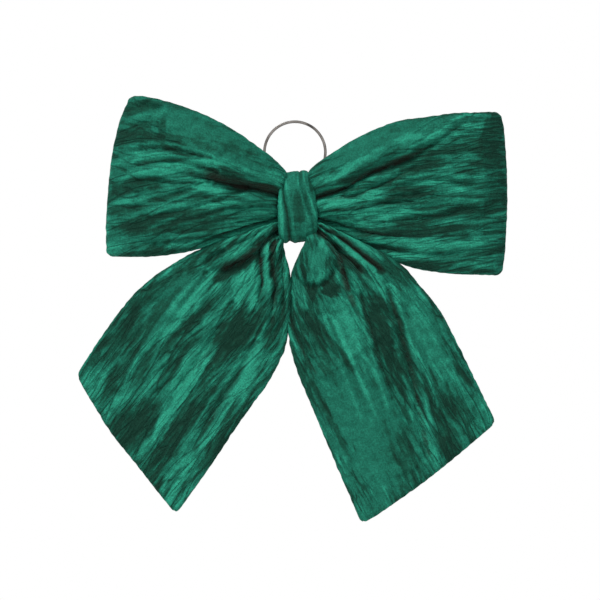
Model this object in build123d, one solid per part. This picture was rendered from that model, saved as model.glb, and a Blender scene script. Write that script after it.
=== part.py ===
"""A padded velvet bow that hangs from a steel split ring.

Two loops and two tails are padded velvet tubes, gathered side by side through one velvet knot. A tape tab sewn to
the back of the knot holds the ring. Millimetres. X runs to the bow's right as it is seen from the front, Y runs
towards the back and Z up. The origin is the point inside the top of the ring that bears on a hook.
"""

import os
from math import cos, pi, radians, sin

from build123d import *

# Driving dimensions
RING_OUTER_R = 20.0
WIRE_WIDTH = 1.7  # across the ring, outwards from its centre
WIRE_THICKNESS = 0.9  # along the ring's axis, for one turn
TURN_GAP = 0.1  # between the two turns of the wire
RING_END_ANGLE = 71.0  # where the front end of the wire lies, from +X
RING_JOG_ANGLE = 25.0  # the stretch in which the wire crosses from the front turn to the back turn
RING_RISE = 34.8  # ring centre above the knot's centre
KNOT_OFFSET_X = 1.6  # knot centre beside the ring's centre

VELVET = 1.0  # thickness of the velvet, with its pile
PADDED = 5.0  # thickness of a padded tube: velvet, wadding, velvet
STITCH_R = 0.25
THREAD_R = 0.4

KNOT_WIDTH = 25.0
KNOT_HEIGHT = 45.0
KNOT_FRONT, KNOT_BACK = -15.0, 12.5  # depth of the knot's faces, from the middle of the bow
KNOT_STRIP = 3.2  # thickness of the folded velvet strip of the knot
LOOP_BACK = 17.0  # the plane that the backs of the loops lie in
WAIST_HALF_WIDTH = 13.5  # the gathered middle of the loops, inside the knot
WAIST_DEPTH, WAIST_HEIGHT, WAIST_CORNER = 17.0, 22.2, 4.0
WAIST_Y, WAIST_Z = -0.9, 6.9
NECK_R = 6.0
NECK_Y, NECK_Z = -2.0, -12.1  # the line that both tails turn on, in the lower part of the knot

TAB_WIDTH = 8.0
TAPE = 0.8
TAB_SLOT_Y, TAB_SLOT_Z = 2.5, 3.6  # the eye of the tab that the ring runs in
TAB_BEAD_R = 1.0
TAB_LENGTH = 8.5  # from the wire down to the hinge line

# Worked out from them
RING_INNER_R = RING_OUTER_R - WIRE_WIDTH
RING_MID_R = RING_OUTER_R - WIRE_WIDTH / 2
RING_Y = KNOT_BACK + 0.3 + TAB_SLOT_Y / 2 + TAPE  # the ring's plane, just behind the knot
KNOT_TO_ORIGIN = Pos(KNOT_OFFSET_X, -RING_Y, -RING_INNER_R - RING_RISE)
RING_CENTRE = Pos(0, 0, -RING_INNER_R)
WIRE_Z = RING_RISE - RING_MID_R  # height of the lowest wire, in the knot's frame
TAB_X = -KNOT_OFFSET_X
TAB_HINGE_Z = WIRE_Z - TAB_LENGTH
THROUGH = 100.0  # longer than the bow is deep, for outlines cut right through


# Outlines and profiles, all in the knot's frame: origin at the middle of the knot


def front_face(*edges):
    """An upright face seen from the front, bounded by edges given as (x, z)."""
    return Plane.XZ * make_face(edges)


def front_prism(face):
    return extrude(face, amount=THROUGH, both=True)


def inset(face, distance):
    return offset(face, -distance) if distance else face


def left_loop_outline():
    """Front view of the left loop. Its lower edge is kept clear of the swinging tail."""
    top = ThreePointArc((-13, 17.5), (-46, 52), (-101, 70))
    corner = Line((-101, 70), (-105, 66.5))
    end = ThreePointArc((-105, 66.5), (-117.5, 18), (-119.2, -31))
    bottom = Line((-119.2, -31), (-88, -31))
    tuck = ThreePointArc((-88, -31), (-50, -15.5), (-13, -4.2))
    return front_face(top, corner, end, bottom, tuck, Line((-13, -4.2), (-13, 17.5)))


def right_loop_outline():
    top = ThreePointArc((13, 17.5), (55, 50), (125, 60))
    end = ThreePointArc((125, 60), (131.4, 8), (127.8, -43))
    bottom = Line((127.8, -43), (92, -40.5))
    tuck = ThreePointArc((92, -40.5), (50, -19.3), (13, -4.2))
    return front_face(top, end, bottom, tuck, Line((13, -4.2), (13, 17.5)))


def left_tail_outline():
    """Front view of the left tail, from beside the knot down to its slanted end."""
    shoulder = Line((-14, -9), (-56, -24.5))
    outer = ThreePointArc((-56, -24.5), (-104.7, -57.5), (-136, -103))
    corner = Line((-136, -103), (-136, -110))
    cut = Line((-136, -110), (-79.5, -187))
    tip = Line((-79.5, -187), (-73, -187))
    inner = Line((-73, -187), (-26, -120))
    bend = ThreePointArc((-26, -120), (-10, -90), (-5.4, -56))
    throat = Line((-5.4, -56), (-5.4, -42)), Line((-5.4, -42), (-14, -27.5))
    return front_face(shoulder, outer, corner, cut, tip, inner, bend, *throat, Line((-14, -27.5), (-14, -9)))


def right_tail_outline():
    shoulder = Line((14, -9), (64, -36))
    outer = ThreePointArc((64, -36), (84.5, -59), (103, -92))
    side = Line((103, -92), (121.6, -131))
    corner = Line((121.6, -131), (119, -140))
    cut = Line((119, -140), (45, -195.4))
    tip = Line((45, -195.4), (39.5, -194))
    inner = Line((39.5, -194), (5, -115))
    bend = ThreePointArc((5, -115), (-1.4, -96), (-4.2, -74))
    throat = Line((-4.2, -74), (-4.2, -46)), Line((-4.2, -46), (14, -27.5))
    edges = (shoulder, outer, side, corner, cut, tip, inner, bend, *throat)
    return front_face(*edges, Line((14, -27.5), (14, -9)))


def loop_profile(length):
    """The outside of a loop seen from above, along its length u and its depth y, with a flat back."""
    fold_u, fold_front = length - 17, -15.4
    bulge_u, bulge_front = 52, -18.6
    waist_front = TangentArc((bulge_u, bulge_front), (13, -9.4), tangent=(-1, 0))
    panel = Line((bulge_u, bulge_front), (fold_u, fold_front))
    fold = ThreePointArc((fold_u, fold_front), (length, 1), (fold_u, LOOP_BACK))
    flat = Line((fold_u, LOOP_BACK), (46, LOOP_BACK))
    waist_back = TangentArc((46, LOOP_BACK), (13, 7.4), tangent=(-1, 0))
    return make_face([waist_front, panel, fold, flat, waist_back, Line((13, 7.4), (13, -9.4))])


def loop_prism(profile, direction, tilt):
    """A loop profile, upright on the left (-1) or right (+1) and leaned by tilt so that its end follows the fold."""
    column = extrude(profile, amount=THROUGH, both=True)
    if direction < 0:
        column = mirror(column, about=Plane.YZ)
    return Rot(0, tilt, 0) * column


def tail_profile(inset):
    """A tail seen from the side: thick at the neck and a padded tube's thickness at its end, given as (y, z)."""
    half = ((-6.2, -7), (-5.8, -32), (-4.4, -75), (-2.6, -130), (-2.5, -200))
    front = [(NECK_Y + y + inset, z) for y, z in half]
    back = [(NECK_Y - y - inset, z) for y, z in half]
    outline = Polyline(*front, *reversed(back), close=True)
    return Plane.YZ * make_face(outline)


# Pieces, in the knot's frame


def waist_block(depth):
    """The gathered middle of the loop band, where its front and back are pulled together, inset by depth."""
    size = [side - 2 * depth for side in (2 * WAIST_HALF_WIDTH, WAIST_DEPTH, WAIST_HEIGHT)]
    block = Pos(0, WAIST_Y, WAIST_Z) * Box(*size)
    return fillet(block.edges().filter_by(Axis.X), WAIST_CORNER)


def loop_shape(outside, inside):
    """Both loops and their waist, between the offsets outside and inside from the outer surface."""
    band = waist_block(outside)
    for outline, length, direction, tilt in (
        (left_loop_outline(), 117.6, -1, 8.2),
        (right_loop_outline(), 130.6, 1, -0.5),
    ):
        profile = loop_profile(length)
        wall = inset(profile, outside) - inset(profile, inside)
        band += loop_prism(wall, direction, tilt) & front_prism(inset(outline, outside))
    return band


def make_loops():
    wadding = loop_shape(VELVET, PADDED - VELVET)
    return loop_shape(0, PADDED) - wadding, wadding


def neck(direction, radius, start, end):
    """A round neck along X, from start to end as distances from the middle of the knot."""
    middle = direction * (start + end) / 2
    return Pos(middle, NECK_Y, NECK_Z) * Rot(0, 90, 0) * Cylinder(radius, end - start)


def tail_shape(outline, depth):
    side = extrude(tail_profile(depth), amount=2 * THROUGH, both=True)
    return front_prism(inset(outline, depth)) & side


def make_tail(outline, direction):
    wadding = tail_shape(outline, VELVET)
    cover = tail_shape(outline, 0) + neck(direction, NECK_R, 0.6, 15.0) - wadding
    return cover, wadding


def thread_rings(radius, thread_r, positions, centre_y, centre_z):
    """Round turns of thread about an X line, one at each x, as a group of solids."""
    turns = [Pos(x, centre_y, centre_z) * Rot(0, 90, 0) * Torus(radius, thread_r) for x in positions]
    return Compound(children=turns)


def make_loop_thread():
    """Turns of strong thread that pull the loops' waist together."""
    path_face = RectangleRounded(
        WAIST_DEPTH + 2 * THREAD_R, WAIST_HEIGHT + 2 * THREAD_R, WAIST_CORNER + THREAD_R
    )
    turns = []
    for x in (-1.8, -0.6, 0.6, 1.8):
        plane = Plane(origin=(x, WAIST_Y, WAIST_Z), x_dir=(0, 1, 0), z_dir=(1, 0, 0))
        path = (plane * path_face).face().outer_wire()
        section = Plane(origin=path @ 0, z_dir=path % 0) * Circle(THREAD_R)
        turns.append(sweep(section, path=path, transition=Transition.ROUND))
    return Compound(children=turns)


def make_knot_wrap():
    """A folded strip of velvet wound once round the gathers."""
    depth, middle = KNOT_BACK - KNOT_FRONT, (KNOT_BACK + KNOT_FRONT) / 2
    plane = Plane(origin=(0, middle, 0), x_dir=(0, 1, 0), z_dir=(1, 0, 0))
    outer = extrude(plane * RectangleRounded(depth, KNOT_HEIGHT, 9.0), amount=KNOT_WIDTH / 2, both=True)
    outer = fillet(outer.edges().group_by(Axis.X)[0] + outer.edges().group_by(Axis.X)[-1], 1.4)
    hollow = RectangleRounded(depth - 2 * KNOT_STRIP, KNOT_HEIGHT - 2 * KNOT_STRIP, 9.0 - KNOT_STRIP)
    return outer - extrude(plane * hollow, amount=KNOT_WIDTH, both=True)


def make_knot_stitches():
    """Slanted stitches that close the strip's lapped end, across the back of the knot."""
    count, spacing, lean = 7, 3.2, 28.0
    stitch = Rot(0, lean, 0) * Cylinder(STITCH_R, 3.4)
    stitches = [
        Pos((i - (count - 1) / 2) * spacing, KNOT_BACK + STITCH_R - 0.1, -8.0) * stitch for i in range(count)
    ]
    return Compound(children=stitches)


def make_tab():
    """A strip of woven tape folded round the wire, with a rolled end that the stitches bind to the knot."""
    web_y = 2 * TAPE
    slot = RectangleRounded(TAB_SLOT_Y, TAB_SLOT_Z, TAB_SLOT_Y / 2 - 0.05)
    eye = RectangleRounded(TAB_SLOT_Y + 2 * TAPE, TAB_SLOT_Z + 2 * TAPE, TAB_SLOT_Y / 2 + TAPE - 0.05)
    web = Pos(0, -TAB_LENGTH / 2) * Rectangle(web_y, TAB_LENGTH)
    bead = Pos(0, -TAB_LENGTH) * Circle(TAB_BEAD_R)
    plane = Plane(origin=(TAB_X, RING_Y, WIRE_Z), x_dir=(0, 1, 0), z_dir=(1, 0, 0))
    tab = extrude(plane * (eye + web + bead - slot), amount=TAB_WIDTH / 2, both=True)
    hole_low, hole_high = TAB_BEAD_R, 3.7
    for x in tab_stitch_positions():
        centre = Pos(x, RING_Y, TAB_HINGE_Z + (hole_low + hole_high) / 2)
        tab -= centre * Box(1.1, 4 * TAPE, hole_high - hole_low)
    return tab


def tab_stitch_positions():
    return [TAB_X + offset_x for offset_x in (-3.0, -1.0, 1.0, 3.0)]


def make_tab_stitches():
    """Loops of thread through the tab's end and the back of the knot: the hinge that the tab swings on."""
    return thread_rings(2.3, STITCH_R, tab_stitch_positions(), RING_Y - 0.75, TAB_HINGE_Z)


def wire_section(angle, y):
    """The flattened wire's section at an angle round the ring, y behind the ring's plane."""
    a = radians(angle)
    outward = (cos(a), 0, sin(a))
    plane = Plane(
        origin=(RING_MID_R * cos(a), y, RING_MID_R * sin(a)), x_dir=outward, z_dir=(-sin(a), 0, cos(a))
    )
    return plane * RectangleRounded(WIRE_WIDTH, WIRE_THICKNESS, 0.3)


def make_ring():
    """Two turns of flattened spring wire, one behind the other, joined by a short jog. Its centre is the origin."""
    plane_y = (WIRE_THICKNESS + TURN_GAP) / 2
    turn_angle = 360 - RING_JOG_ANGLE - 2.0
    jog_start = RING_END_ANGLE - RING_JOG_ANGLE
    front = revolve(wire_section(jog_start, -plane_y), Axis.Y, turn_angle)
    back = revolve(wire_section(RING_END_ANGLE, plane_y), Axis.Y, -turn_angle)
    steps = 6
    sections = [
        wire_section(jog_start + RING_JOG_ANGLE * i / steps, -plane_y * cos(pi * i / steps))
        for i in range(steps + 1)
    ]
    return front + loft(sections) + back


def main():
    loop_cover, loop_wadding = make_loops()
    left_cover, left_wadding = make_tail(left_tail_outline(), -1)
    right_cover, right_wadding = make_tail(right_tail_outline(), 1)
    neck_turns = (5.0, 5.9, 6.8)
    nodes = {
        "loop_cover": loop_cover,
        "loop_wadding": loop_wadding,
        "loop_gather_thread": make_loop_thread(),
        "left_tail_cover": left_cover,
        "left_tail_wadding": left_wadding,
        "left_tail_gather_thread": thread_rings(
            NECK_R + THREAD_R, THREAD_R, [-x for x in neck_turns], NECK_Y, NECK_Z
        ),
        "right_tail_cover": right_cover,
        "right_tail_wadding": right_wadding,
        "right_tail_gather_thread": thread_rings(
            NECK_R + THREAD_R, THREAD_R, neck_turns, NECK_Y, NECK_Z
        ),
        "knot_wrap": make_knot_wrap(),
        "knot_closing_stitches": make_knot_stitches(),
        "ring_tab": make_tab(),
        "ring_tab_stitches": make_tab_stitches(),
    }
    nodes = {name: KNOT_TO_ORIGIN * shape for name, shape in nodes.items()}
    nodes["split_ring"] = RING_CENTRE * make_ring()
    os.makedirs("parts", exist_ok=True)
    for name, shape in nodes.items():
        export_step(shape, f"parts/{name}.step")


main()
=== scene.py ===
from math import cos, pi, radians, sin

import bmesh
import bpy
import numpy as np
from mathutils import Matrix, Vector
from numpy.linalg import norm


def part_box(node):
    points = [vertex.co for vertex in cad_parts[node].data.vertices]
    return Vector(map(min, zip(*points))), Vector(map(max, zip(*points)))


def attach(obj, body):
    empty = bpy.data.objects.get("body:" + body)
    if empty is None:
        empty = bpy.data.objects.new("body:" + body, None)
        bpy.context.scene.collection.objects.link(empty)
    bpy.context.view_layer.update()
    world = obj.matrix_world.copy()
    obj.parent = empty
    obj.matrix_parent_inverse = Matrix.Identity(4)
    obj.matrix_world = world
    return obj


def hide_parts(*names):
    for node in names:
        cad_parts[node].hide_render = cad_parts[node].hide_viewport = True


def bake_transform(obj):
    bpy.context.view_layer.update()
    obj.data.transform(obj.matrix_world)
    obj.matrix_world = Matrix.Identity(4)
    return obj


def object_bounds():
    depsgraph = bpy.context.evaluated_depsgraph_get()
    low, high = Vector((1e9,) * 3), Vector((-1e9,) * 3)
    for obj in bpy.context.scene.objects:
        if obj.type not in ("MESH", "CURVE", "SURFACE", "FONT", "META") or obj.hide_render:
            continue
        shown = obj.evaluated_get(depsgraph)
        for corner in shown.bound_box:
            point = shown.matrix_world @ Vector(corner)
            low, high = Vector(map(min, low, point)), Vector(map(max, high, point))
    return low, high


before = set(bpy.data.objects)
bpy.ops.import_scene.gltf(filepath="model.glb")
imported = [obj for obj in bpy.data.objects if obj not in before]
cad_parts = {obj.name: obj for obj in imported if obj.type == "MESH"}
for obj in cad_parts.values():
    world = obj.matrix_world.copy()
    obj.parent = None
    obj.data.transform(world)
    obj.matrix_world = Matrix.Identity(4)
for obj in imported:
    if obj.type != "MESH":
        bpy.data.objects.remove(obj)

CAD_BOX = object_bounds()
MM = 0.001

# Shapes are worked out in millimetres from the middle of the knot: x to the right, y to the back, z up.
KNOT_LOW, KNOT_HIGH = (np.array(corner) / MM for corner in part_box("knot_wrap"))
KNOT_BACK = 12.5
KNOT_CENTRE = np.array([
    (KNOT_LOW[0] + KNOT_HIGH[0]) / 2,
    KNOT_HIGH[1] - KNOT_BACK,
    (KNOT_LOW[2] + KNOT_HIGH[2]) / 2,
])
BAND_WIDTH = 100.0  # flat width of the padded band
HALF_PAD = 2.6  # half the padded band's thickness
SWELL = 1.6  # how far the padding swells past its outline
LOOP_CORNER, TAIL_CORNER = 1.4, 4.6  # radii at the fold of a loop and the end of a tail, seen from the front
TUCK = 5.0  # how far a loop's lower edge goes back, beside the knot, behind the tail
ROW = 2.15  # space between rows of points along a band
RIM = 1.35 * HALF_PAD  # width of a padded band's rounded edge
RIM_POINTS, MIDDLE_POINTS = 5, 44  # points over a rounded edge, and between the two edges
UV_SIZE = 100.0  # mm of flat cloth to one unit of the map named Band
SEED = 7


# ---- curves and patches

def smoothstep(low, high, x):
    s = np.clip((x - low) / (high - low), 0, 1)
    return s * s * (3 - 2 * s)


def dense_curve(points, per_span=16):
    """A smooth curve through points, as many samples per span, with no overshoot at uneven spacing."""
    p = np.array(points, float)
    gap = np.maximum(norm(np.diff(p, axis=0), axis=1), 1e-9) ** 0.5
    slope = np.diff(p, axis=0) / gap[:, None]
    tangent = np.empty_like(p)
    tangent[0], tangent[-1] = slope[0], slope[-1]
    before, after = gap[:-1, None], gap[1:, None]
    tangent[1:-1] = (slope[:-1] * after + slope[1:] * before) / (before + after)
    out = []
    s = np.linspace(0, 1, per_span, endpoint=False)[:, None]
    for i, h in enumerate(gap):
        out.append(
            (2 * s**3 - 3 * s**2 + 1) * p[i] + (s**3 - 2 * s**2 + s) * h * tangent[i]
            + (3 * s**2 - 2 * s**3) * p[i + 1] + (s**3 - s**2) * h * tangent[i + 1]
        )
    return np.vstack(out + [p[-1:]])


def distance_along(c):
    return np.concatenate([[0], np.cumsum(norm(np.diff(c, axis=0), axis=1))])


def length_of(points):
    return norm(np.diff(dense_curve(points), axis=0), axis=1).sum()


def along(points, share):
    """Points of the smooth curve at shares of its length, for an array of any shape."""
    c = dense_curve(points)
    run = distance_along(c)
    run /= run[-1]
    return np.stack([np.interp(share, run, c[:, k]) for k in range(c.shape[1])], -1)


def patch(low, high, start, end, t, v):
    """A Coons patch between four edge curves: t runs from start to end and v from low to high."""
    b, u, k, e = along(low, t), along(high, t), along(start, v), along(end, v)
    t, v = t[..., None], v[..., None]
    corners = (
        (1 - t) * (1 - v) * np.array(low[0]) + (1 - t) * v * np.array(high[0])
        + t * (1 - v) * np.array(low[-1]) + t * v * np.array(high[-1])
    )
    return (1 - v) * b + v * u + (1 - t) * k + t * e - corners


# ---- repeatable noise

def lattice_noise(x, y, seed):
    """Smooth gradient noise of two coordinates, from about -1 to 1."""
    xi, yi = np.floor(x).astype(int), np.floor(y).astype(int)
    xf, yf = x - xi, y - yi

    def corner(dx, dy):
        h = (xi + dx) * 374761393 + (yi + dy) * 668265263 + seed * 974634777
        h = (h ^ (h >> 13)) * 1274126177
        angle = ((h ^ (h >> 16)) & 0xFFFF) / 65536 * 2 * pi
        return np.cos(angle) * (xf - dx) + np.sin(angle) * (yf - dy)

    a, b = (s * s * s * (s * (s * 6 - 15) + 10) for s in (xf, yf))
    top = corner(0, 0) * (1 - a) + corner(1, 0) * a
    low = corner(0, 1) * (1 - a) + corner(1, 1) * a
    return 1.5 * (top * (1 - b) + low * b)


def wander(length, across, seed):
    """Where the wrinkles' lines pass, across the band: they drift from side to side along it."""
    return across + 3.6 * lattice_noise(length / 30, across / 18, seed + 1)


def valleys(x, y, seed):
    """Rounded hills between sharp, winding valleys."""
    return 2.1 * np.abs(lattice_noise(x, y, seed)) - 0.55


def crush(length, across, seed, tied):
    """Height of the velvet's wrinkles, in mm: long folds with sharp valleys, bunched in some places, and the
    gathers that fan out from the knot. tied is the distance along the band from the nearer gathered end."""
    a = wander(length, across, seed)
    folds = valleys(length / 34, (a - 0.10 * length) / 6.4, seed + 2)
    small = valleys(length / 15, (a + 0.20 * length) / 3.2, seed + 3)
    broad = lattice_noise(length / 44, a / 17, seed + 4)
    bunched = smoothstep(-0.4, 0.5, lattice_noise(length / 38, across / 24, seed + 5))
    gathers = valleys(length / 95, (across + 0.4 * (a - across)) / 7.0, seed + 8)
    loose = smoothstep(8, 55, tied)
    return (
        0.6 * broad + (0.2 + 0.8 * bunched) * (folds + 0.24 * small) * (0.35 + 0.65 * loose)
        + 2.4 * np.exp(-((tied / 48) ** 2)) * smoothstep(2, 14, tied) * gathers
    )


def pile_lie_and_shading(length, across, seed, tied):
    """How brightly the pile lies, about 0 to 1, in long patches, with painted shading from the wrinkles'
    slopes that lightens one flank of each wrinkle and darkens the other.
    """
    a = wander(length, across, seed)
    # painted shading: the wrinkle's slope across the band lightens one flank and darkens the other
    slope = crush(length, across + 0.4, seed, tied) - crush(length, across - 0.4, seed, tied)
    patches = lattice_noise(length / 50, a / 11, seed + 6)
    streaks = lattice_noise(length / 40, a / 4.2, seed + 7)
    return 0.47 + 0.2 * np.tanh(2.6 * slope) + 0.22 * np.tanh(3.2 * patches) + 0.15 * np.tanh(3 * streaks)


# ---- pleats

def fold(route, depth, width, step=0.0, roll=4.0, spread=9.0, open_end=0.6, shade=0.5):
    """A pleat to be laid: a crease along a front-view route from the knot, with rounded lips. step raises
    the left side of the route, or if negative the right, as a roll that hangs over the crease: roll is its
    radius, spread how far it takes to sink back and shade the width of the painted shade along its underside,
    as a share of roll. The crease dies away past open_end of its length."""
    return dict(
        route=route, depth=depth, width=width, step=step, roll=roll, spread=spread,
        open_end=open_end, shade=shade,
    )


def pleat(x, z, route, depth, width, step, roll, spread, open_end, shade, at_knot=False):
    """A pleat's height, and how much painted shade falls in its crease and how much painted highlight on its
    crest at each place, from 0 to 1.
    """
    c = dense_curve(route)
    run = distance_along(c)
    share = run / run[-1]
    heading = np.gradient(c, axis=0)
    heading /= norm(heading, axis=1)[:, None]
    flat = np.stack([x.ravel(), z.ravel()], -1)
    gap = ((flat[:, None, :] - c[None]) ** 2).sum(-1)
    near = gap.argmin(1)
    d = np.sqrt(gap[np.arange(len(flat)), near])
    away = flat - c[near]
    side = np.sign(heading[near, 0] * away[:, 1] - heading[near, 1] * away[:, 0]) * (1 if step >= 0 else -1)
    s = share[near]
    reach = 1 - smoothstep(open_end, 1.0, s)
    emerge = 1.0 if at_knot else smoothstep(0.8, 1.35, np.hypot(flat[:, 0] / 12, flat[:, 1] / 22))
    grow = 0.7 + 0.6 * s
    w = width * grow
    valley = -depth * np.exp(-((d / w) ** 1.4))
    lip = 0.35 * depth * np.exp(-(((d - 2.1 * w) / (1.3 * w)) ** 2))
    r = roll * grow
    quarter = np.sqrt(np.clip(1 - (1 - np.clip(d / r, 0, 1)) ** 2, 0, 1))
    raised = ((depth + abs(step)) * quarter - depth) * np.exp(-((np.clip(d - r, 0, None) / spread) ** 2))
    over = (side > 0) & (step != 0)
    height = np.where(over, raised, valley + lip)
    strength = min(1.0, (depth + abs(step)) / 6.0)
    # painted shade: the crease and the roll's underside, darkened in the colour
    dark = np.where(over, np.exp(-((d / (shade * r)) ** 2)), np.exp(-((d / (0.8 * w)) ** 2))) * strength
    # painted highlight along the roll's crest, and beside a bare crease along its lip
    roll_crest = np.exp(-(((d - 0.95 * r) / (0.35 * r)) ** 2))
    crest = np.where(over, roll_crest, 0.6 * np.exp(-(((d - 2.2 * w) / w) ** 2)))
    return np.stack([reach * emerge * height, reach * dark, reach * crest]).reshape(3, *x.shape)


def puffed(x, z, centre, half_length, half_width, lean, height, edge):
    """A short pleat puffed out into a bulb: its height, the painted shade under its rim and the painted
    highlight along its crest. lean is the heading of its long axis in degrees and edge the heading in which
    its rim stands free."""
    ca, sa = cos(radians(lean)), sin(radians(lean))
    dx, dz = x - centre[0], z - centre[1]
    rho = np.hypot((dx * ca + dz * sa) / half_length, (dz * ca - dx * sa) / half_width)
    rho = rho + 0.05 * lattice_noise(dx / 9, dz / 9, SEED)
    toward_edge = dx * cos(radians(edge)) + dz * sin(radians(edge))
    free = smoothstep(0.45, 0.95, toward_edge / np.maximum(np.hypot(dx, dz), 1e-6))
    dome = height * np.sqrt(np.clip(1 - rho**2, 0, 1))
    under = -0.4 * height * free * np.exp(-(((rho - 1.08) / 0.16) ** 2))
    # painted shade under the bulb's free rim, and painted highlight along its crest
    dark = 0.45 * free * np.exp(-(((rho - 1.1) / 0.14) ** 2))
    crest = free * np.exp(-(((rho - 0.86) / 0.12) ** 2))
    return dome + under, dark, crest


def folded(x, z, pleats, bulbs=()):
    """The height, the painted shade and the painted highlights on the crests of a set of pleats and bulbs
    together.
    """
    each = np.stack([pleat(x, z, **p) for p in pleats] + [np.stack(puffed(x, z, **b)) for b in bulbs])
    return np.stack([each[:, 0].sum(0), each[:, 1].max(0), each[:, 2].max(0)])


# ---- meshes and objects

def read(items, key, size=1, kind=np.float32):
    """One property of many points, corners or values, as an array with size columns."""
    values = np.empty(len(items) * size, kind)
    items.foreach_get(key, values)
    return values.reshape(-1, size) if size > 1 else values


def mark(mesh, key, values):
    """Keeps a number or a vector for each point of the mesh."""
    vector = values.ndim == 2
    layer = mesh.attributes.new(key, "FLOAT_VECTOR" if vector else "FLOAT", "POINT")
    layer.data.foreach_set("vector" if vector else "value", values.astype(np.float32).ravel())


def marked(mesh, key):
    return read(mesh.attributes[key].data, "value")


def shift(mesh, direction, height):
    """Moves each point along its direction by its height in mm."""
    co = read(mesh.vertices, "co", 3) + direction * (height * MM)[:, None]
    mesh.vertices.foreach_set("co", co.astype(np.float32).ravel())
    mesh.update()


def put(name, data):
    """An object for the data, in the scene."""
    made = bpy.data.objects.new(name, data)
    bpy.context.collection.objects.link(made)
    return made


# ---- padded tubes

def rim_shares(width):
    """Places across a padded tube in mm, close together at its rims, and how full it is at each."""
    turn = np.arange(RIM_POINTS) / RIM_POINTS * pi / 2
    radius = np.minimum(RIM, 0.42 * width)[:, None]
    edge = radius * (1 - np.cos(turn))
    inner = radius + (width[:, None] - 2 * radius) * np.linspace(0, 1, MIDDLE_POINTS)
    places = np.hstack([edge, inner, width[:, None] - edge[:, ::-1]])
    full = np.concatenate([np.sin(turn), np.ones(MIDDLE_POINTS), np.sin(turn)[::-1]])
    return places, np.broadcast_to(full, places.shape)


def normals(grid):
    ds = np.gradient(grid, axis=0)
    dv = np.gradient(grid, axis=1)
    n = np.cross(ds, dv)
    return n / np.maximum(norm(n, axis=2), 1e-9)[..., None]


def around(outer, inner):
    """Values at the points round a padded band: across its outer skin and back across its inner one. The
    grids run along the band, then across."""
    return np.concatenate([outer, inner[:, -2:0:-1]], axis=1)


def ring_mesh(name, ring, spans, ends=()):
    """A mesh of rings of points, each joined to the next over a number of spans, and its flat map."""
    rows, count = ring.shape[:2]
    faces = []
    for i in range(spans):
        for j in range(count):
            k, ahead = (j + 1) % count, (i + 1) % rows
            faces.append((i * count + j, i * count + k, ahead * count + k, ahead * count + j))
    mesh = bpy.data.meshes.new(name)
    mesh.from_pydata([tuple(p) for p in (ring.reshape(-1, 3) + KNOT_CENTRE) * MM], [], faces + list(ends))
    return mesh, mesh.uv_layers.new(name="Band")


def tube_mesh(name, mid, out, half, length, across, marks):
    """A closed tube: a padded band's two skins, half to each side of its middle along out."""
    skin = out * half[..., None]
    ring = around(mid + skin, mid - skin)
    rows, count = ring.shape[:2]
    flat_along = around(length, length)
    flat_across = around(across, 2 * across[:, -1:] - across)
    round_both = 2 * (across[:, -1] - across[:, 0]) / UV_SIZE
    ends = [tuple(range(count))[::-1], tuple((rows - 1) * count + j for j in range(count))]
    mesh, uv = ring_mesh(name, ring, rows - 1, ends)
    flat = np.stack([flat_along.ravel(), flat_across.ravel()], -1) / UV_SIZE
    for poly in mesh.polygons:
        wraps = poly.index < (rows - 1) * count and poly.index % count == count - 1
        for loop in poly.loop_indices:
            vert = mesh.loops[loop].vertex_index
            u, v = flat[vert]
            if wraps and vert % count == 0:
                v += round_both[vert // count]
            uv.data[loop].uv = (u, v)
    mark_skins(mesh, marks)
    return placed(name, mesh)


def mark_skins(mesh, marks):
    """Keeps grids of values for both skins of a padded band: how firmly it is Held, its distance from a Rim
    and from where it is Tied, whether it is at the Front, the way Out of it and its place while Flat."""
    for key, grid in marks.items():
        mark(mesh, key, around(grid, grid).reshape(-1, *grid.shape[2:]))
    mark(mesh, "Inside", around(np.zeros(grid.shape[:2]), np.ones(grid.shape[:2])).ravel())


def placed(name, mesh):
    """The mesh as an object in the scene, smooth and facing outwards."""
    work = bmesh.new()
    work.from_mesh(mesh)
    bmesh.ops.recalc_face_normals(work, faces=work.faces)
    work.to_mesh(mesh)
    work.free()
    mesh.shade_smooth()
    return put(name, mesh)


def gathered(v, width):
    """Place across the band in mm of cloth: where it is gathered, some of its width is lost in folds."""
    seen = BAND_WIDTH * np.sqrt(width / BAND_WIDTH)
    return BAND_WIDTH / 2 + (v - 0.5) * seen[:, None]


def hold(x, z, rim_distance, end_distance):
    """How firmly the simulation keeps each place: fast at the knot and firm along the edges."""
    knot_side = smoothstep(46, 14, np.abs(x) + 0.6 * np.maximum(-z - 14, 0))
    rim = 0.75 * smoothstep(14, 3, np.minimum(rim_distance, end_distance))
    return 0.22 + 0.78 * np.maximum(knot_side, rim)


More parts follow.
